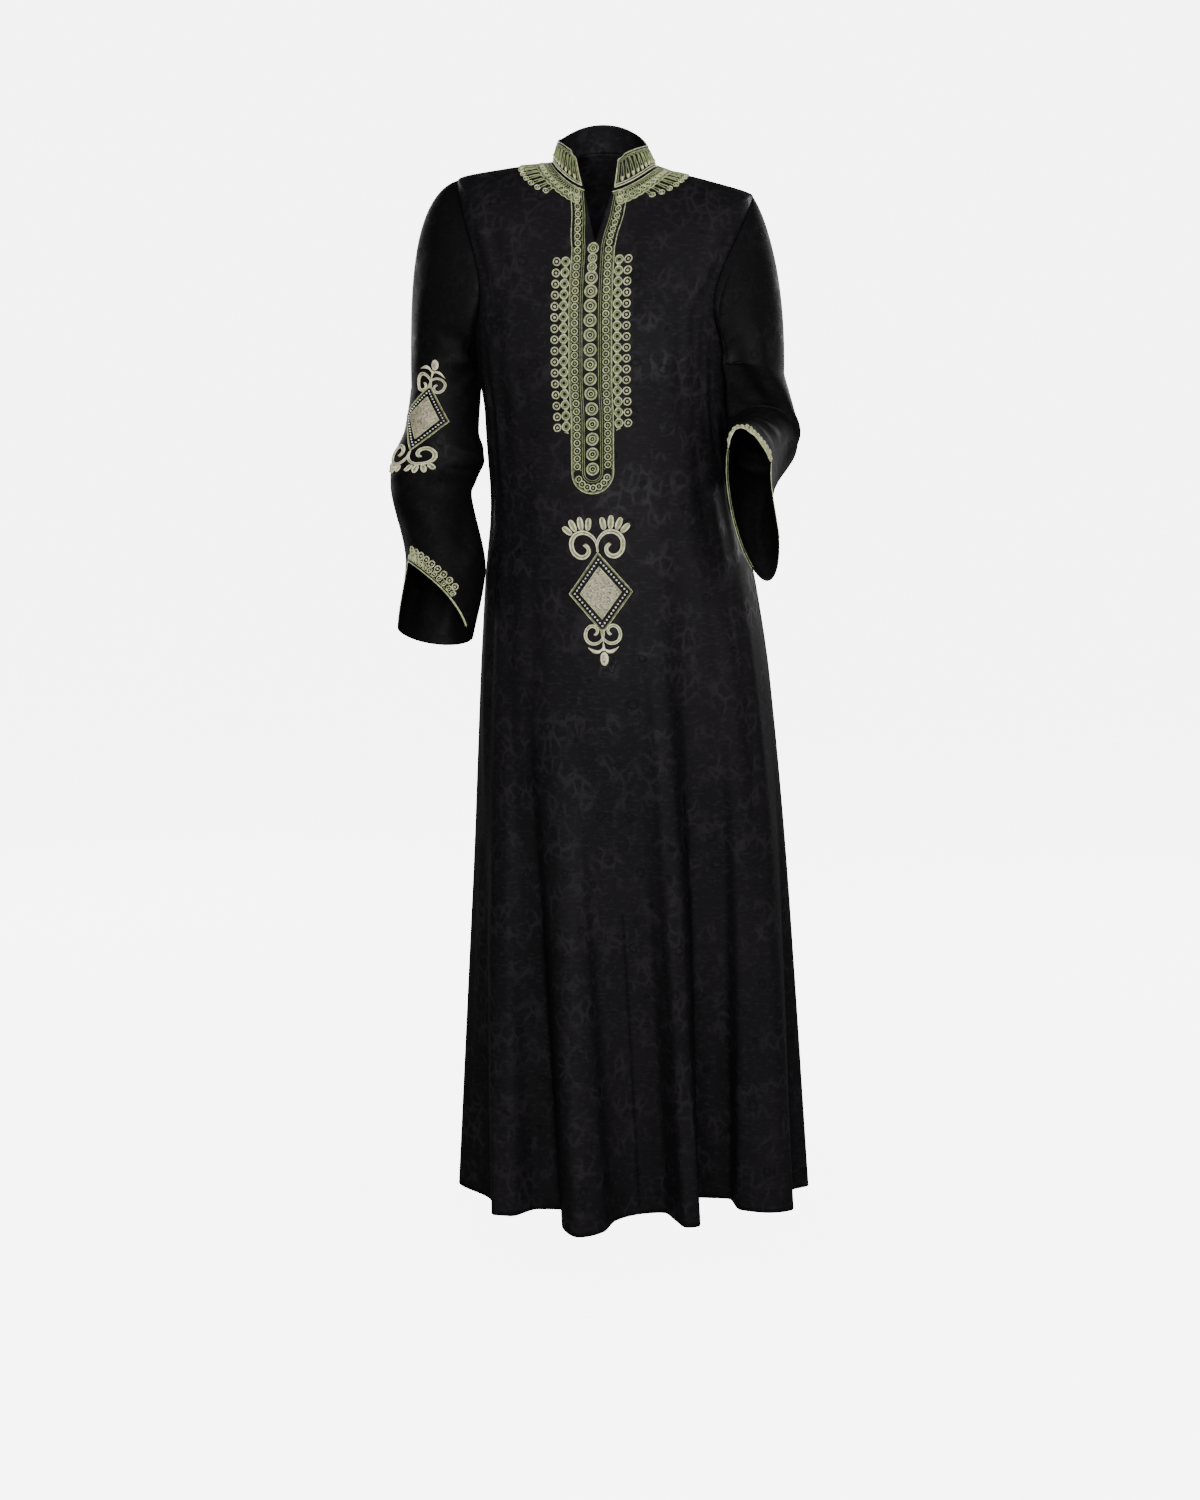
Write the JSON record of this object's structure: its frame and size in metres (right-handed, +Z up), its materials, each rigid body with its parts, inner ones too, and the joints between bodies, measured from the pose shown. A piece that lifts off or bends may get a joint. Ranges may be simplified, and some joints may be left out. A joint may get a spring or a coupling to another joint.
{
  "type": "maxi dress",
  "caption": "Long-sleeved embroidered maxi dress in worn form, with a stand collar, open neck slit, notched bell cuffs and a flared, softly folded skirt.",
  "frame": {"origin": "middle of the neck seam, where the wearer's neck and shoulders hold the dress", "axes": "+Z up, the wearer faces -Y, and the wearer's left is +X"},
  "size_m": [0.5313, 0.4011, 1.3657],
  "materials": {
    "black_jacquard": "satin jacquard, tone on tone",
    "green_embroidery": "satin thread",
    "silver_embroidery": "metallic thread"
  },
  "bodies": {
    "root": {"back_panel": "black_jacquard", "collar": "black_jacquard", "cuff_braid_left": "green_embroidery", "cuff_braid_right": "green_embroidery", "front_motif_diamond": "silver_embroidery", "front_motif_large_scroll_left": "silver_embroidery", "front_motif_large_scroll_right": "silver_embroidery", "front_motif_small_scroll_left": "silver_embroidery", "front_motif_small_scroll_right": "silver_embroidery", "front_panel": "black_jacquard", "left_sleeve_motif_diamond": "silver_embroidery", "left_sleeve_motif_large_scroll_left": "silver_embroidery", "left_sleeve_motif_large_scroll_right": "silver_embroidery", "left_sleeve_motif_small_scroll_left": "silver_embroidery", "left_sleeve_motif_small_scroll_right": "silver_embroidery", "neck_band": "green_embroidery", "placket_braid": "green_embroidery", "placket_wing_left": "green_embroidery", "placket_wing_right": "green_embroidery", "right_sleeve_motif_diamond": "silver_embroidery", "right_sleeve_motif_large_scroll_left": "silver_embroidery", "right_sleeve_motif_large_scroll_right": "silver_embroidery", "right_sleeve_motif_small_scroll_left": "silver_embroidery", "right_sleeve_motif_small_scroll_right": "silver_embroidery", "sleeve_left": "black_jacquard", "sleeve_right": "black_jacquard", "slit_braid_left": "green_embroidery", "slit_braid_right": "green_embroidery"}
  },
  "joints": []
}
